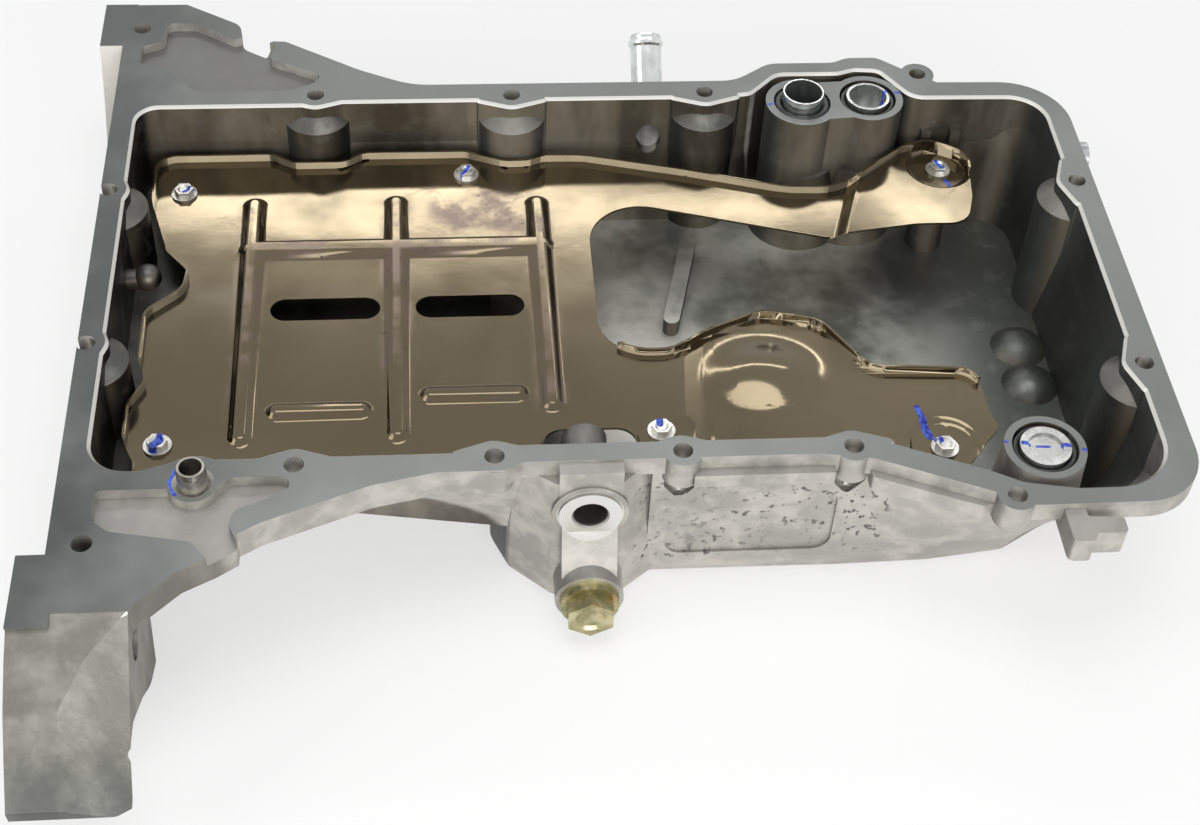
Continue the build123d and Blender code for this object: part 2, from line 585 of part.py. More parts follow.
# Raised arms, pads round their bolts, dome and ribs: one sheet thick all over
whole = prism(tray_face, tray_low, 0)
for side, low in ((1, tray_top), (-1, tray_low)):
    forms = pressing(far_arm, arm_raise, far_arm_slope, low) + pressing(near_arm, arm_raise, near_arm_slope, low)
    for place in (tray_bolts[2], tray_bolts[4], tray_bolts[5]):
        forms -= post(place, pad_r, low, low + arm_raise + 1, pad_r + pad_slope)
    forms += pressing(dome, arm_raise + dome_tall, 11.0, low)
    for circles, tall, slope in pressings:
        forms += pressing(circles, tall, slope, low)
    tray = tray + (forms & whole) if side > 0 else tray - forms
for slot_x in (49.0, 116.4):
    tray -= prism(Pos(slot_x, crank_y) * SlotOverall(tray_slot_long, tray_slot_wide), tray_low - 1, tray_top + 1)
for place in tray_bolts:
    tray -= post(place, tray_bolt_d / 2 + tray_hole_gap, tray_low - 1, tray_top + 1)
print("tray", tray.is_valid, len(tray.solids()), round(tray.volume), tray.bounding_box())
export_step(tray, "parts/windage_tray.step")

# Tray bolts: hexagon head with a flange, plain shank to the thread's outer diameter
for number, place in enumerate(tray_bolts, 1):
    bolt = post(place, tray_bolt_flange_r, tray_top, tray_top + tray_bolt_flange)
    head = RegularPolygon(tray_bolt_hex / 2, 6, major_radius=False)
    bolt += prism(Pos(*place) * head, tray_top + tray_bolt_flange, tray_top + tray_bolt_head)
    dish_low = tray_top + tray_bolt_head - tray_bolt_dish
    bolt -= post(place, tray_bolt_hex / 4, dish_low, dish_low + tray_bolt_dish + 0.01, tray_bolt_hex / 2.6)
    bolt += post(place, tray_bolt_d / 2, tray_low - tray_bolt_long + 1, tray_top)
    export_step(bolt, f"parts/tray_bolt_{number}.step")

# Drain plug and its sealing washer
washer = rod((port_x, drain_face_y, drain_z), (0, -1, 0), washer_thick, washer_r)
washer -= rod((port_x, drain_face_y, drain_z), (0, -1, 0), washer_thick, drain_bore_r)
export_step(washer, "parts/drain_washer.step")
plug_seat_y = drain_face_y - washer_thick
plug = rod((port_x, plug_seat_y, drain_z), (0, -1, 0), plug_flange_thick, plug_flange_r)
hexagon = RegularPolygon(plug_hex / 2, 6, major_radius=False, rotation=30)
hexagon = near_sketch(plug_seat_y - plug_flange_thick) * Pos(port_x, drain_z) * hexagon
plug += extrude(hexagon, amount=plug_hex_tall, dir=(0, -1, 0))
plug -= rod((port_x, plug_seat_y - plug_flange_thick - plug_hex_tall - 0.01, drain_z), (0, 1, 0), 1.2, plug_hex * 0.36, plug_hex * 0.28)
plug += rod((port_x, plug_seat_y, drain_z), (0, 1, 0), drain_thread_long + washer_thick, drain_thread_d / 2)
export_step(plug, "parts/drain_plug.step")

# Hose nipple: tube with a rolled bead, pressed into its boss
nipple_length = nipple_end - nipple_root
nipple_half = [
    (nipple_id / 2, 0), (nipple_od / 2, 0), (nipple_od / 2, nipple_length - nipple_bead_back - 2.0),
    (nipple_od / 2 + nipple_bead, nipple_length - nipple_bead_back - 0.8),
    (nipple_od / 2 + nipple_bead, nipple_length - nipple_bead_back + 0.8),
    (nipple_od / 2, nipple_length - nipple_bead_back + 2.0), (nipple_od / 2, nipple_length - 0.8),
    (nipple_od / 2 - 0.6, nipple_length), (nipple_id / 2, nipple_length),
]
nipple = revolve(Plane.XZ * make_face(Polyline(*nipple_half, close=True).edges()), Axis.Z)
nipple = Plane(origin=nipple_from + nipple_way * nipple_root, z_dir=nipple_way) * nipple
export_step(nipple, "parts/hose_nipple.step")

# Dowel tube with a tapered nose
dowel = post((0, 0), dowel_od / 2 - dowel_neck, -dowel_sunk, 0)
dowel += post((0, 0), dowel_od / 2, 0, dowel_rise - dowel_taper)
dowel += post((0, 0), dowel_od / 2, dowel_rise - dowel_taper, dowel_rise, dowel_od / 2 - dowel_taper_in)
dowel -= post((0, 0), dowel_od / 2 - dowel_wall, -dowel_sunk, dowel_rise)
export_step(dowel, "parts/dowel_tube.step")

# Oil ports: thin tube, blind cup and dished disc, each in its own seal
tube_low = -land_drop - tube_1_deep
port_tube = post(land_1, tube_1_od / 2 - tube_1_neck, tube_low, 0) + post(land_1, tube_1_od / 2, 0, tube_1_rise)
port_tube -= post(land_1, tube_1_id / 2, tube_low, tube_1_rise)
export_step(port_tube, "parts/port_tube.step")
cup = post(land_2, cup_od / 2, -land_drop - cup_deep, -0.5)
cup -= post(land_2, cup_id / 2, -land_drop - cup_deep + cup_floor + 3.0, -0.5)
export_step(cup, "parts/port_cup.step")
disc = post(land_3, disc_od / 2, -land_drop - disc_thick, -0.8)
disc -= post(land_3, disc_dish / 2, -0.8 - disc_dish_deep, 0)
export_step(disc, "parts/port_disc.step")


def seal(place, inner_d):
    """Seal ring that fills the seat between a bore and what stands in it."""
    inner_r = inner_d / 2 + seal_gap
    outer_r = seal_seat_d / 2 - seal_gap
    thick = (outer_r - inner_r) / 2
    return Pos(place[0], place[1], seat_low + thick) * Torus(inner_r + thick, thick)


export_step(seal(land_1, tube_1_od - 2 * tube_1_neck), "parts/port_seal_1.step")
export_step(seal(land_2, cup_od), "parts/port_seal_2.step")
export_step(seal(land_3, disc_od), "parts/port_seal_3.step")

# Side wall plug
side_plug = rod((side_plug_seat, side_plug_y, side_plug_z), (1, 0, 0), side_plug_head, side_plug_head_r)
side_plug += rod((side_plug_seat - 6 + 0.01, side_plug_y, side_plug_z), (1, 0, 0), 6, side_plug_neck_r)
export_step(side_plug, "parts/side_wall_plug.step")
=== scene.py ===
import bpy
import bmesh
from math import cos, radians, sin
from mathutils import Matrix, Vector


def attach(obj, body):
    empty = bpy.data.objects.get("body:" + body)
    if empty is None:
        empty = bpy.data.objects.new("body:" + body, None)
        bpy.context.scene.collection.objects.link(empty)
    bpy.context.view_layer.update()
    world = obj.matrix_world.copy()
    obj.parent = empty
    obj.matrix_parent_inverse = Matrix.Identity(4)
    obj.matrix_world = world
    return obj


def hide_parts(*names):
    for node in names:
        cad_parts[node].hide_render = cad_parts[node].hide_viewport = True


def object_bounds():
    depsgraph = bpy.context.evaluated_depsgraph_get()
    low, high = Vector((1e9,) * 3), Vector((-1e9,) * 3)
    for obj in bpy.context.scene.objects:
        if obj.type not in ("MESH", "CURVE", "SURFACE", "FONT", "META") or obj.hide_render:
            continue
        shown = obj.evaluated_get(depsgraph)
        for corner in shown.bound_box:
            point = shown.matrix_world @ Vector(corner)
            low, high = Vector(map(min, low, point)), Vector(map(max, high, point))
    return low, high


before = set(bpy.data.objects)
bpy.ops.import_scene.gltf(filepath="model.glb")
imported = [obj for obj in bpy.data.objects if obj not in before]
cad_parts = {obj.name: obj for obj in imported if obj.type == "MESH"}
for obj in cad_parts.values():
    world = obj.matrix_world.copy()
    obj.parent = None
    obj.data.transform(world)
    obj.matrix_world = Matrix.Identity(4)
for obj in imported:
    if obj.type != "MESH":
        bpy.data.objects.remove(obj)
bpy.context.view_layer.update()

MM = 0.001

# Camera at the photograph's angle
PITCH = radians(47.138)
YAW = radians(6.815)
ROLL = radians(-3.433)
EYE = Vector((102.775, -521.619, 601.355)) * MM
LENS = 57.783

# Places and sizes that the shapes and finishes follow, in millimetres
BOLTS = [
    (-21.5, 213.1), (117.2, 223.9), (357.4, 221.2), (-21.5, 46.7), (198.6, 47.2), (323.6, 32.3),
]
RIBS = (13.0, 82.0, 151.0)
BOLT_TOP = -25.5
TRAY_TOP = -29.5
TRAY_SHEET = 1.2
ARM_TOP = -26.0
SIDE_PORT = (163.4, -25.5)
PORT_RING_RADIUS = 14.2
PORT_BORE_RADIUS = 7.5

# Mound of the tray's near arm: middle, half widths, height and the squares it is cut into
MOUND_CENTRE = (248.0, 76.0)
MOUND_REACH = (31.0, 27.0)
MOUND_RISE = 6.0
MOUND_SQUARE = 2.5

# Sheet's mesh: points closer than this are one, normals past this are level, and edges that
# turn more than this stay sharp
WELD = 0.002
LEVEL_NORMAL = 0.99999
SHARP_TURN = radians(48.0)

# Turned lines of the port's ring, in radians a metre
TURNING_LINES = 7500.0

# Floor's drop below the object in metres, its share of glow, and the room's light on the object
FLOOR_GAP = 0.0002
FLOOR_GLOW = 0.6
ROOM_LIGHT = 0.36


def place_camera():
    """Camera where the photograph was taken from."""
    ahead = Vector((sin(YAW) * cos(PITCH), cos(YAW) * cos(PITCH), -sin(PITCH)))
    right = Vector((cos(YAW), -sin(YAW), 0.0))
    down = ahead.cross(right)
    turned_right = right * cos(ROLL) + down * sin(ROLL)
    turned_down = down * cos(ROLL) - right * sin(ROLL)
    data = bpy.data.cameras.new("photo_camera")
    data.lens = LENS
    data.sensor_width = 36.0
    data.clip_start = 0.01
    data.clip_end = 20.0
    camera = bpy.data.objects.new("photo_camera", data)
    turn = Matrix((turned_right, -turned_down, -ahead)).transposed()
    camera.matrix_world = Matrix.Translation(EYE) @ turn.to_4x4()
    bpy.context.scene.collection.objects.link(camera)
    bpy.context.scene.camera = camera


def tone(red, green, blue):
    """A colour as the eye reads it, 0 to 255, in Blender's linear values."""
    return tuple(((c / 255 + 0.055) / 1.055) ** 2.4 for c in (red, green, blue))


PAINT_DEEP = tone(22, 30, 150)
PAINT_THIN = tone(60, 105, 215)


class Finish:
    """One procedural finish, worked out on the object's own coordinates."""

    def __init__(self, name, metal, rough):
        self.material = bpy.data.materials.new(name)
        self.material.use_nodes = True
        self.tree = self.material.node_tree
        self.shader = self.tree.nodes["Principled BSDF"]
        self.shader.inputs["Metallic"].default_value = metal
        self.shader.inputs["Roughness"].default_value = rough
        self.metal = metal
        self.fray = None
        self.place = self.tree.nodes.new("ShaderNodeTexCoord").outputs["Object"]
        self.x, self.y, self.z = self.split(self.place)
        self.facing = self.tree.nodes.new("ShaderNodeNewGeometry").outputs["Normal"]
        self.facing_x, self.facing_y, self.facing_z = self.split(self.facing)

    def link(self, a, b):
        self.tree.links.new(a, b)

    def feed(self, socket, value):
        if isinstance(value, tuple):
            socket.default_value = (*value, 1.0) if len(socket.default_value) == 4 else value
        elif isinstance(value, (int, float)):
            socket.default_value = value
        else:
            self.link(value, socket)

    def split(self, vector):
        node = self.tree.nodes.new("ShaderNodeSeparateXYZ")
        self.link(vector, node.inputs[0])
        return node.outputs

    def maths(self, how, a, b=None):
        node = self.tree.nodes.new("ShaderNodeMath")
        node.operation = how
        self.feed(node.inputs[0], a)
        if b is not None:
            self.feed(node.inputs[1], b)
        return node.outputs[0]

    def both(self, *masks):
        total = masks[0]
        for mask in masks[1:]:
            total = self.maths("MULTIPLY", total, mask)
        return total

    def either(self, *masks):
        total = masks[0]
        for mask in masks[1:]:
            total = self.maths("MAXIMUM", total, mask)
        return total

    def less(self, mask):
        return self.maths("SUBTRACT", 1.0, mask)

    def vector(self, how, a, b=None, scale=None):
        node = self.tree.nodes.new("ShaderNodeVectorMath")
        node.operation = how
        self.feed(node.inputs[0], a)
        if b is not None:
            self.feed(node.inputs[1], b)
        if scale is not None:
            self.feed(node.inputs["Scale"], scale)
        return node.outputs["Value" if how in ("DOT_PRODUCT", "LENGTH") else "Vector"]

    def noise(self, scale, detail=4.0, rough=0.55, stretch=None):
        node = self.tree.nodes.new("ShaderNodeTexNoise")
        node.inputs["Scale"].default_value = scale
        node.inputs["Detail"].default_value = detail
        node.inputs["Roughness"].default_value = rough
        where = self.place
        if stretch is not None:
            mapping = self.tree.nodes.new("ShaderNodeMapping")
            mapping.inputs["Scale"].default_value = stretch
            self.link(where, mapping.inputs["Vector"])
            where = mapping.outputs["Vector"]
        self.link(where, node.inputs["Vector"])
        return node.outputs["Fac"]

    def ramp(self, value, low, high, start=0.0, end=1.0):
        node = self.tree.nodes.new("ShaderNodeMapRange")
        node.interpolation_type = "SMOOTHSTEP"
        limits = {"From Min": low, "From Max": high, "To Min": start, "To Max": end}
        for name, number in limits.items():
            node.inputs[name].default_value = number
        self.link(value, node.inputs["Value"])
        return node.outputs["Result"]

    def band(self, value, low, high, soft):
        """1 between low and high, fading over soft at both ends; all in millimetres."""
        low, high, soft = low * MM, high * MM, soft * MM
        rise = self.ramp(value, low - soft, low)
        return self.both(rise, self.ramp(value, high, high + soft, 1.0, 0.0))

    def block(self, low, high, soft):
        """1 inside the block between two corners, in millimetres; None leaves an axis open."""
        sides = zip((self.x, self.y, self.z), low, high)
        return self.both(*[self.band(axis, a, b, soft) for axis, a, b in sides if a is not None])

    def from_centreline(self, centre):
        """Distance in metres from a line along y through centre, given as x and z."""
        squares = []
        for value, middle in zip((self.x, self.z), centre):
            shift = self.maths("SUBTRACT", value, middle * MM)
            squares.append(self.maths("MULTIPLY", shift, shift))
        return self.maths("SQRT", self.maths("ADD", squares[0], squares[1]))

    def colour(self, factor, a, b):
        node = self.tree.nodes.new("ShaderNodeMix")
        node.data_type = "RGBA"
        self.feed(node.inputs[6], a)
        self.feed(node.inputs[7], b)
        self.feed(node.inputs[0], factor)
        return node.outputs[2]

    def blend(self, factor, a, b):
        node = self.tree.nodes.new("ShaderNodeMix")
        self.feed(node.inputs[2], a)
        self.feed(node.inputs[3], b)
        self.feed(node.inputs[0], factor)
        return node.outputs[0]

    def stroke(self, start, end, width, flat=True):
        """Mask of one dab of marking paint from start to end, in millimetres."""
        if self.fray is None:
            waver = self.maths("SUBTRACT", self.noise(1100.0, 1.0), 0.5)
            self.fray = self.maths("MULTIPLY", waver, 0.5 * MM)
        start, end = Vector(start) * MM, Vector(end) * MM
        along = end - start
        offset = self.vector("SUBTRACT", self.place, tuple(start))
        if flat:
            offset = self.vector("MULTIPLY", offset, (1.0, 1.0, 0.0))
            along.z = 0.0
        share = self.vector("DOT_PRODUCT", offset, tuple(along))
        share = self.maths("MULTIPLY", share, 1.0 / along.length_squared)
        share = self.maths("MINIMUM", self.maths("MAXIMUM", share, 0.0), 1.0)
        nearest = self.vector("SCALE", tuple(along), scale=share)
        gap = self.vector("LENGTH", self.vector("SUBTRACT", offset, nearest))
        gap = self.maths("ADD", gap, self.fray)
        return self.ramp(gap, width * 0.85 * MM, width * 1.05 * MM, 1.0, 0.0)

    def painted(self, colour, marks, where=None):
        """The colour with blue paint over it, and the metal dulled under the paint."""
        mask = self.either(*marks)
        if where is not None:
            mask = self.both(mask, where)
        paint = self.colour(self.ramp(self.noise(500.0, 3.0), 0.4, 0.62), PAINT_DEEP, PAINT_THIN)
        metal = self.maths("MULTIPLY", self.less(mask), self.metal)
        self.feed(self.shader.inputs["Metallic"], metal)
        return self.colour(mask, colour, paint)

    def relief(self, heights, depth, strength=1.0):
        """Surface relief of the given depth in millimetres, as strong as strength."""
        node = self.tree.nodes.new("ShaderNodeBump")
        self.feed(node.inputs["Strength"], strength)
        node.inputs["Distance"].default_value = depth * MM
        self.link(heights, node.inputs["Height"])
        return node.outputs["Normal"]

    def done(self, colour, rough, normal):
        self.feed(self.shader.inputs["Base Color"], colour)
        self.feed(self.shader.inputs["Roughness"], rough)
        if normal is not None:
            self.link(normal, self.shader.inputs["Normal"])
        return self.material


def cast_aluminium():
    """Cast aluminium with its milled faces."""
    cast = Finish("cast_aluminium", 0.7, 0.5)
    upward = cast.ramp(cast.facing_z, 0.95, 0.985)

    # Rough outer skin, and painted shade inside the tub: walls darker, end walls darkest, the shelf
    # and the bed past 0.3 m along x darker
    inside = cast.block((-50.0, 15.0, -90.0), (411.5, 249.0, -1.4), 0.8)
    inside = cast.either(inside, cast.block((265.0, 235.0, -60.0), (350.0, 268.0, -1.2), 0.8))
    cloud = cast.noise(19.0, 4.0, 0.66)
    fine = cast.noise(75.0, 3.0, 0.65)
    outer = cast.colour(cast.ramp(cloud, 0.36, 0.64), tone(160, 158, 152), tone(177, 174, 167))
    outer = cast.colour(cast.ramp(fine, 0.42, 0.66, 0.0, 0.5), outer, tone(206, 202, 194))
    streaks = cast.noise(9.0, 4.0, 0.6, (2.2, 2.2, 0.5))
    wall = cast.colour(cast.ramp(streaks, 0.38, 0.64), tone(84, 79, 69), tone(142, 134, 119))
    # Painted shade: end walls darkest, near black at the bell-housing end
    end_wall_shade = cast.colour(cast.ramp(streaks, 0.38, 0.64), tone(30, 33, 32), tone(72, 76, 74))
    bed = cast.colour(cast.ramp(streaks, 0.36, 0.66), tone(128, 129, 122), tone(205, 205, 197))
    end_wall_shade = cast.colour(cast.ramp(cast.x, -0.02, 0.05), tone(20, 21, 20), end_wall_shade)
    bed = cast.colour(cast.ramp(cast.x, 0.3, 0.38), bed, tone(84, 86, 81))
    endwise = cast.ramp(cast.maths("ABSOLUTE", cast.facing_x), 0.4, 0.9)
    inner = cast.colour(endwise, wall, end_wall_shade)
    shelf_shade = cast.colour(cast.ramp(streaks, 0.36, 0.66), tone(76, 76, 72), tone(112, 111, 106))
    flat_tone = cast.colour(cast.ramp(cast.z, -0.066, -0.058), bed, shelf_shade)
    inner = cast.colour(cast.ramp(cast.facing_z, 0.35, 0.9), inner, flat_tone)
    inner = cast.colour(cast.ramp(fine, 0.5, 0.72, 0.0, 0.2), inner, tone(150, 150, 146))
    skin = cast.colour(inside, outer, inner)

    # Painted shade: faces that look up, outside the tub, are painted greyer than the walls, and
    # darker still at the far side
    ledge_shade = cast.both(cast.ramp(cast.facing_z, 0.3, 0.95, 0.0, 0.6), cast.less(inside))
    skin = cast.colour(ledge_shade, skin, tone(112, 113, 111))
    far_side = cast.ramp(cast.y, 0.22, 0.26, 0.0, 0.6)
    far_ledge_shade = cast.both(cast.ramp(cast.facing_z, 0.3, 0.95), far_side, cast.less(inside))
    skin = cast.colour(far_ledge_shade, skin, tone(84, 85, 83))
    # Painted shade on faces turned towards -x, the bell-housing end
    skin = cast.colour(cast.ramp(cast.facing_x, -0.6, -0.95, 0.0, 0.6), skin, tone(84, 86, 84))

    # Leg of the bell-housing end, streaked where the die dragged
    leg = cast.block((-70.0, -130.0, -90.0), (10.0, -20.0, -2.0), 8.0)
    drag = cast.noise(30.0, 4.0, 0.7, (1.6, 1.6, 0.5))
    leg_tone = cast.colour(cast.ramp(drag, 0.38, 0.7), tone(104, 103, 96), tone(136, 134, 125))
    low_leg = cast.colour(cast.ramp(drag, 0.38, 0.7), tone(62, 63, 60), tone(92, 93, 88))
    leg_tone = cast.colour(cast.ramp(cast.z, -0.066, -0.038), low_leg, leg_tone)
    leg_tone = cast.colour(cast.ramp(cast.y, -0.12, -0.09), low_leg, leg_tone)
    leg_sides = cast.both(leg, cast.maths("MULTIPLY", cast.less(upward), 0.85))
    skin = cast.colour(leg_sides, skin, leg_tone)

    # Pits and raised grain of the panel in the near wall
    panel = cast.block((186.0, -30.0, -66.0), (292.0, 12.0, -19.0), 5.0)
    pits = cast.ramp(cast.noise(260.0, 2.0, 0.6), 0.57, 0.67)
    pits = cast.both(panel, pits, cast.ramp(cloud, 0.4, 0.6, 0.2, 1.0))
    skin = cast.colour(pits, skin, tone(96, 94, 89))

    # Milled rim, seal lands and wing tops, with painted shade that darkens them towards the
    # bell-housing end and the far side
    top = cast.both(cast.band(cast.z, -0.6, 5.0, 0.25), upward)
    lands = cast.both(cast.band(cast.z, -1.7, -1.3, 0.1), upward)
    milled = cast.either(top, lands)
    smudge = cast.noise(7.0, 4.0, 0.62)
    cut = cast.colour(cast.ramp(cast.x, -0.05, 0.06), tone(72, 75, 74), tone(118, 120, 117))
    cut = cast.colour(cast.ramp(cast.x, 0.1, 0.36), cut, tone(112, 114, 112))
    cut = cast.colour(cast.ramp(cast.y, 0.21, 0.25, 0.0, 0.45), cut, tone(84, 86, 84))
    cut = cast.colour(cast.ramp(smudge, 0.42, 0.68, 0.0, 0.35), cut, tone(150, 153, 151))
    metal = cast.colour(milled, skin, cut)

    # Chamfer round the mouth, painted bright as a highlight
    slanting = cast.ramp(cast.facing_z, 0.5, 0.6)
    slanting = cast.both(slanting, cast.ramp(cast.facing_z, 0.85, 0.92, 1.0, 0.0))
    chamfer = cast.both(cast.band(cast.z, -1.5, -0.05, 0.05), slanting)
    metal = cast.colour(chamfer, metal, tone(204, 203, 198))

    # Freshly turned ring round the side port, and painted shade in its bore
    from_port = cast.from_centreline(SIDE_PORT)
    rim_low, rim_high = PORT_RING_RADIUS * MM, (PORT_RING_RADIUS + 0.3) * MM
    port_near = cast.ramp(from_port, rim_low, rim_high, 1.0, 0.0)
    port_near = cast.both(cast.band(cast.y, -12.0, 42.0, 0.2), port_near)
    ring = cast.both(port_near, cast.ramp(cast.facing_y, -0.9, -0.98))
    turning = cast.maths("SINE", cast.maths("MULTIPLY", from_port, TURNING_LINES))
    ring_tone = cast.colour(cast.ramp(turning, -0.6, 1.0), tone(206, 206, 203), tone(232, 232, 229))
    metal = cast.colour(ring, metal, ring_tone)
    # Painted shade: the port's bore is painted dark
    bore_low, bore_high = PORT_BORE_RADIUS * MM, (PORT_BORE_RADIUS + 0.2) * MM
    bore_shade = cast.ramp(from_port, bore_low, bore_high, 1.0, 0.0)
    bore_shade = cast.both(bore_shade, cast.band(cast.y, -1.5, 42.0, 0.3))
    metal = cast.colour(bore_shade, metal, tone(92, 88, 80))

    # Marking paint beside the dowel and on the seal lands
    marks = [
        cast.stroke((-6.9, 6.6, 0.0), (-8.9, 0.8, 0.0), 1.25),
        cast.stroke((-8.9, 0.8, 0.0), (-6.9, -5.8, 0.0), 1.35),
        cast.stroke((269.2, 241.6, -1.5), (273.2, 242.8, -1.5), 0.55),
        cast.stroke((336.4, 249.9, -1.5), (339.2, 249.6, -1.5), 0.8),
        cast.stroke((338.8, 10.8, -1.5), (341.6, 10.4, -1.5), 0.8),
        cast.stroke((373.4, 4.9, -1.5), (377.0, 3.9, -1.5), 0.9),
    ]
    metal = cast.painted(metal, marks, milled)

    # Grain of the skin, almost none on milled faces
    grain = cast.noise(330.0, 4.0, 0.7)
    lumps = cast.noise(28.0, 2.0, 0.5)
    height = cast.maths("MULTIPLY", grain, 0.45)
    height = cast.maths("ADD", height, cast.maths("MULTIPLY", lumps, 1.3))
    skin_part = cast.less(cast.either(milled, chamfer, ring))
    strength = cast.maths("MAXIMUM", cast.both(skin_part, cast.blend(panel, 0.6, 1.0)), 0.03)
    normal = cast.relief(height, 0.55, strength)
    skin_rough = cast.ramp(fine, 0.3, 0.7, 0.44, 0.6)
    rough = cast.blend(milled, skin_rough, cast.ramp(smudge, 0.3, 0.7, 0.34, 0.46))
    rough = cast.blend(cast.either(chamfer, ring), rough, 0.3)
    tub_rough = cast.ramp(streaks, 0.3, 0.7, 0.36, 0.5)
    rough = cast.blend(cast.both(inside, cast.less(milled)), rough, tub_rough)
    return cast.done(metal, rough, normal)


def pressed_tray_steel():
    """Bronze-toned pressed steel of the tray."""
    steel = Finish("pressed_tray_steel", 0.95, 0.18)
    cloud = steel.noise(5.0, 2.0, 0.5)
    haze = steel.noise(26.0, 3.0, 0.6)
    base = steel.colour(steel.ramp(cloud, 0.35, 0.65), tone(98, 89, 72), tone(112, 102, 83))
    base = steel.colour(steel.ramp(haze, 0.45, 0.72, 0.0, 0.35), base, tone(88, 82, 68))

    # Purple and dull stains left along the ribs by the press, and one near bolt 2
    bands = [steel.band(steel.x, rib - 4.5, rib + 4.5, 5.0) for rib in RIBS]
    along = steel.band(steel.y, 70.0, 196.0, 14.0)
    cross = steel.band(steel.y, 166.5, 175.5, 5.0)
    cross = steel.both(cross, steel.band(steel.x, 10.0, 160.0, 8.0))
    stain = steel.either(steel.both(steel.either(*bands), along), cross)
    stain = steel.either(stain, steel.block((106.0, 186.0, None), (142.0, 216.0, None), 12.0))
    patchy = steel.ramp(steel.noise(46.0, 4.0, 0.7), 0.4, 0.66, 0.0, 0.8)
    purple = steel.both(stain, patchy, steel.ramp(cloud, 0.3, 0.6, 0.45, 0.85))
    base = steel.colour(purple, base, tone(106, 92, 90))
    left_end = steel.band(steel.x, -40.0, 8.0, 14.0)
    dull = steel.ramp(steel.noise(13.0, 3.0, 0.6), 0.45, 0.7, 0.0, 0.5)
    base = steel.colour(steel.both(left_end, dull), base, tone(104, 98, 84))

    # Small dark pits gathered beside the ribs
    pits = steel.ramp(steel.noise(420.0, 2.0, 0.5), 0.68, 0.72)
    gather = steel.ramp(haze, 0.48, 0.62)
    base = steel.colour(steel.both(pits, gather, steel.either(stain, 0.15)), base, tone(54, 48, 40))

    # Marking paint beside two bolts: bolt's number, start and end from its middle, width
    marks = []
    for number, start, end, width in (
        (3, (2.7, -7.6, 0.0), (4.7, -13.6, 2.0), 1.1),
        (6, (-5.3, 7.2, 0.0), (-7.4, 14.5, 1.0), 2.0),
        (6, (-7.4, 14.5, 1.0), (-9.0, 22.0, 3.0), 1.5),
    ):
        middle = Vector((*BOLTS[number - 1], TRAY_TOP))
        marks.append(steel.stroke(middle + Vector(start), middle + Vector(end), width))
    base = steel.painted(base, marks)

    dents = steel.noise(9.0, 2.0, 0.45)
    skin = steel.noise(160.0, 3.0, 0.6)
    height = steel.maths("ADD", dents, steel.maths("MULTIPLY", skin, 0.018))
    normal = steel.relief(height, 0.9)
    rough = steel.ramp(haze, 0.3, 0.75, 0.09, 0.15)
    rough = steel.blend(steel.both(stain, patchy), rough, 0.28)
    return steel.done(base, rough, normal)


def plated_steel(name, pale, dull, rough, marks=()):
    """Plated steel between two tones, with dabs of marking paint."""
    plate = Finish(name, 0.95, rough)
    cloud = plate.noise(60.0, 5.0, 0.6)
    base = plate.colour(plate.ramp(cloud, 0.38, 0.66), dull, pale)
    if marks:
        base = plate.painted(base, [plate.stroke(*mark) for mark in marks])
    normal = plate.relief(plate.noise(700.0, 3.0), 0.06, 0.6)
    spread = plate.ramp(plate.noise(160.0), 0.3, 0.7, rough - 0.05, rough + 0.08)
    return plate.done(base, spread, normal)


def bolt_steel():
    """Bright steel of the tray bolts, with a dab of paint on each head."""
    # Bolt's number, start and end of the dab from its middle, width
    dabs = (
        (1, (-0.5, -1.9, 0.0), (4.1, 2.1, 0.0), 0.9),
        (2, (-2.1, -3.0, 0.0), (1.1, 2.4, 0.0), 1.0),
        (3, (-0.9, 3.0, 0.0), (1.8, -1.9, 0.0), 1.0),
        (4, (1.4, 4.6, 0.0), (0.8, 0.6, 0.0), 1.5),
        (4, (0.8, 0.6, 0.0), (-1.6, -3.0, 0.0), 2.2),
        (5, (-0.7, 4.2, 0.0), (-0.7, 1.6, 0.0), 1.7),
        (6, (-3.2, 4.0, 0.0), (-1.6, 1.9, 0.0), 1.3),
    )
    marks = []
    for number, start, end, width in dabs:
        middle = Vector((*BOLTS[number - 1], BOLT_TOP))
        marks.append((middle + Vector(start), middle + Vector(end), width))
    return plated_steel("bolt_steel", tone(222, 221, 216), tone(176, 174, 168), 0.3, marks)


def yellow_zinc():
    """Yellow zinc of the drain plug and its washer, with green and orange tints."""
    zinc = Finish("yellow_zinc", 0.95, 0.27)
    cloud = zinc.noise(70.0, 4.0, 0.6)
    tint = zinc.noise(120.0, 2.0, 0.5)
    base = zinc.colour(zinc.ramp(cloud, 0.36, 0.64), tone(150, 144, 108), tone(206, 198, 158))
    base = zinc.colour(zinc.ramp(tint, 0.55, 0.7, 0.0, 0.5), base, tone(186, 150, 96))
    base = zinc.colour(zinc.ramp(tint, 0.3, 0.42, 0.4, 0.0), base, tone(130, 138, 110))
    normal = zinc.relief(zinc.noise(600.0, 3.0), 0.06, 0.6)
    return zinc.done(base, zinc.ramp(zinc.noise(200.0), 0.3, 0.7, 0.22, 0.36), normal)


def seal_rubber():
    """Black rubber of the seals."""
    rubber = Finish("seal_rubber", 0.0, 0.3)
    sheen = rubber.noise(90.0, 4.0)
    base = rubber.colour(sheen, tone(12, 12, 13), tone(30, 30, 31))
    normal = rubber.relief(rubber.noise(900.0, 2.0), 0.04, 0.5)
    return rubber.done(base, rubber.ramp(sheen, 0.3, 0.7, 0.24, 0.4), normal)


def dress(node, material):
    """Gives one of the frame's nodes its finish."""
    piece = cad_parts[node]
    piece.data.materials.clear()
    piece.data.materials.append(material)


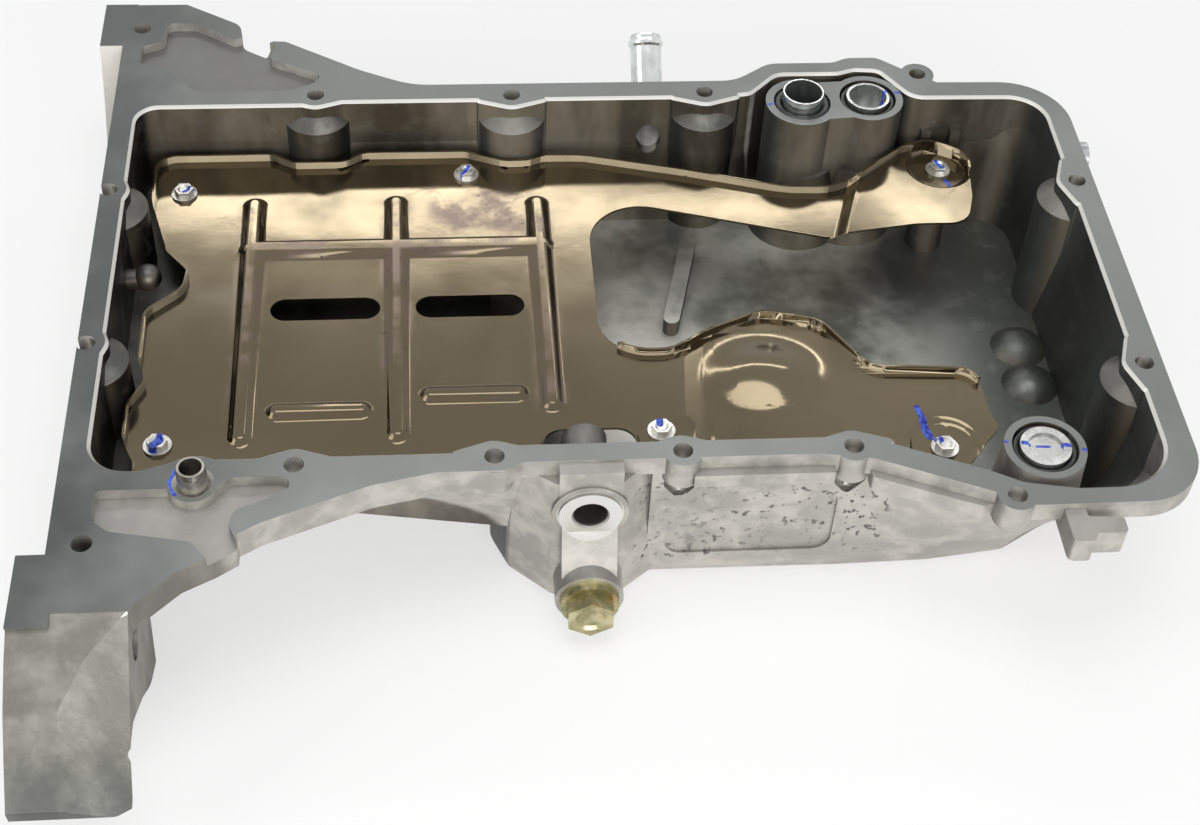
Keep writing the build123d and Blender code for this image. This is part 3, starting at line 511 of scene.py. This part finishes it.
def swell(form, centre, reach, level, rise, step):
    """Cuts part of the sheet into small squares and presses one soft swelling into it."""
    centre, reach, step = Vector(centre) * MM, Vector(reach) * MM, step * MM

    def near(vert, margin=0.0):
        return all(abs(vert.co[i] - centre[i]) < reach[i] + margin for i in (0, 1))

    for axis in (0, 1):
        at = centre[axis] - reach[axis]
        while at < centre[axis] + reach[axis] + step / 2:
            faces = [f for f in form.faces if any(near(vert, 3 * step) for vert in f.verts)]
            edges = dict.fromkeys(edge for face in faces for edge in face.edges)
            verts = dict.fromkeys(vert for face in faces for vert in face.verts)
            middle, across = Vector((0.0, 0.0, 0.0)), Vector((0.0, 0.0, 0.0))
            middle[axis], across[axis] = at, 1.0
            geometry = [*faces, *edges, *verts]
            bmesh.ops.bisect_plane(form, geom=geometry, plane_co=middle, plane_no=across)
            at += step
    form.normal_update()
    moved = []
    for vert in form.verts:
        away = sum(((vert.co[i] - centre[i]) / reach[i]) ** 2 for i in (0, 1))
        if away < 1.0:
            floor = level if vert.normal.z > 0.0 else level - TRAY_SHEET
            moved.append((vert, min(vert.co.z, floor * MM) + rise * MM * (1.0 - away) ** 2))
    for vert, height in moved:
        vert.co.z = height


def press_tray(material):
    """Smooth pressed sheet that stands for the tray."""
    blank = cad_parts["windage_tray"]
    form = bmesh.new()
    form.from_mesh(blank.data)
    bmesh.ops.remove_doubles(form, verts=form.verts, dist=WELD * MM)
    level = {face for face in form.faces if abs(face.normal.z) > LEVEL_NORMAL}
    inner = [edge for edge in form.edges if len(edge.link_faces) == 2]
    edges = [edge for edge in inner if all(face in level for face in edge.link_faces)]
    verts = [vert for vert in form.verts if all(face in level for face in vert.link_faces)]
    bmesh.ops.dissolve_limit(form, angle_limit=radians(0.1), verts=verts, edges=edges)
    swell(form, MOUND_CENTRE, MOUND_REACH, ARM_TOP, MOUND_RISE, MOUND_SQUARE)
    mesh = bpy.data.meshes.new("tray_sheet")
    form.to_mesh(mesh)
    form.free()
    for face in mesh.polygons:
        face.use_smooth = True
    mesh.set_sharp_from_angle(angle=SHARP_TURN)
    mesh.materials.append(material)
    sheet = bpy.data.objects.new("tray_sheet", mesh)
    bpy.context.scene.collection.objects.link(sheet)
    weigh = sheet.modifiers.new("keep_flats_flat", "WEIGHTED_NORMAL")
    weigh.keep_sharp = True
    weigh.weight = 90
    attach(sheet, "pan")
    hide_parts("windage_tray")


place_camera()
dress("pan_casting", cast_aluminium())
press_tray(pressed_tray_steel())
bolts = bolt_steel()
for number in range(1, 7):
    dress(f"tray_bolt_{number}", bolts)
disc_marks = [
    ((348.0, 9.2, -0.8), (350.6, 8.7, -0.8), 1.1),
    ((365.2, 7.3, -0.8), (368.2, 6.8, -0.8), 1.1),
    ((354.0, 7.7, -2.0), (359.4, 7.4, -2.0), 0.7),
]
cup_marks = [((330.2, 249.6, -0.5), (332.4, 249.5, -0.5), 0.9)]
wall_plug_marks = [((424.0, 219.5, -12.5), (430.6, 216.0, -12.5), 1.2, False)]
disc_steel = plated_steel("disc_steel", tone(206, 206, 202), tone(172, 172, 168), 0.26, disc_marks)
dress("port_disc", disc_steel)
cup_steel = plated_steel("cup_steel", tone(190, 191, 189), tone(150, 151, 149), 0.28, cup_marks)
dress("port_cup", cup_steel)
bright_tube = plated_steel("bright_tube", tone(226, 229, 228), tone(196, 199, 198), 0.16)
dress("hose_nipple", bright_tube)
dress("port_tube", bright_tube)
dress("dowel_tube", plated_steel("dowel_steel", tone(196, 192, 184), tone(142, 137, 128), 0.24))
plug_steel = plated_steel(
    "plug_steel", tone(190, 192, 192), tone(140, 142, 143), 0.3, wall_plug_marks
)
dress("side_wall_plug", plug_steel)
zinc = yellow_zinc()
dress("drain_plug", zinc)
dress("drain_washer", zinc)
rubber = seal_rubber()
for number in range(1, 4):
    dress(f"port_seal_{number}", rubber)


def white_to_camera(tree, lowest):
    """Strength 1 to the camera, in mirrors and through glass, and lowest to the rest."""
    path = tree.nodes.new("ShaderNodeLightPath")
    total = None
    for ray in ("Is Camera Ray", "Is Glossy Ray", "Is Transmission Ray"):
        if total is None:
            total = path.outputs[ray]
        else:
            add = tree.nodes.new("ShaderNodeMath")
            add.operation = "MAXIMUM"
            tree.links.new(total, add.inputs[0])
            tree.links.new(path.outputs[ray], add.inputs[1])
            total = add.outputs[0]
    keep = tree.nodes.new("ShaderNodeMath")
    keep.operation = "MAXIMUM"
    tree.links.new(total, keep.inputs[0])
    keep.inputs[1].default_value = lowest
    return keep.outputs[0]


def lay_floor():
    """Pale floor that glows white and keeps the object's shadow."""
    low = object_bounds()[0]
    mesh = bpy.data.meshes.new("floor")
    form = bmesh.new()
    bmesh.ops.create_grid(form, x_segments=1, y_segments=1, size=6.0)
    bmesh.ops.translate(form, verts=form.verts, vec=(0.2, 0.1, low.z - FLOOR_GAP))
    form.to_mesh(mesh)
    form.free()
    floor = bpy.data.objects.new("floor", mesh)
    bpy.context.scene.collection.objects.link(floor)
    pale = Finish("pale_floor", 0.0, 0.9)
    speck = pale.colour(pale.noise(3.0), (0.85, 0.85, 0.85), (0.87, 0.87, 0.87))
    pale.done(speck, 0.9, None)
    tree = pale.tree
    glow = tree.nodes.new("ShaderNodeEmission")
    blend = tree.nodes.new("ShaderNodeMixShader")
    tree.links.new(pale.shader.outputs[0], blend.inputs[1])
    tree.links.new(glow.outputs[0], blend.inputs[2])
    share = tree.nodes.new("ShaderNodeMath")
    share.operation = "MULTIPLY"
    share.inputs[1].default_value = FLOOR_GLOW
    tree.links.new(white_to_camera(tree, 0.0), share.inputs[0])
    tree.links.new(share.outputs[0], blend.inputs[0])
    tree.links.new(blend.outputs[0], tree.nodes["Material Output"].inputs["Surface"])
    mesh.materials.append(pale.material)


def hang_lamp(name, at, towards, size, power):
    """Soft lamp of a width and height in metres, aimed at a point."""
    data = bpy.data.lights.new(name, "AREA")
    data.shape = "RECTANGLE"
    data.size = size[0]
    data.size_y = size[1]
    data.energy = power
    lamp = bpy.data.objects.new(name, data)
    aim = Vector(towards) - Vector(at)
    lamp.rotation_euler = aim.to_track_quat("-Z", "Y").to_euler()
    lamp.location = at
    bpy.context.scene.collection.objects.link(lamp)


def paint_room():
    """White room that lights the object gently."""
    world = bpy.data.worlds.new("studio")
    bpy.context.scene.world = world
    world.use_nodes = True
    tree = world.node_tree
    back = tree.nodes["Background"]
    back.inputs["Color"].default_value = (1.0, 1.0, 1.0, 1.0)
    tree.links.new(white_to_camera(tree, ROOM_LIGHT), back.inputs["Strength"])


lay_floor()
paint_room()
hang_lamp("top_soft", (0.2, 0.15, 1.35), (0.18, 0.1, 0.0), (0.9, 0.7), 7.5)
hang_lamp("front_soft", (0.3, -1.6, 0.6), (0.2, 0.0, -0.03), (1.6, 0.9), 24.0)
hang_lamp("left_soft", (-1.4, -0.4, 0.8), (0.1, 0.1, 0.0), (1.0, 1.0), 9.0)
hang_lamp("far_strip", (0.35, 2.0, 1.56), (0.2, 0.19, -0.03), (2.2, 0.11), 7.0)

bpy.context.scene.view_settings.view_transform = "Standard"
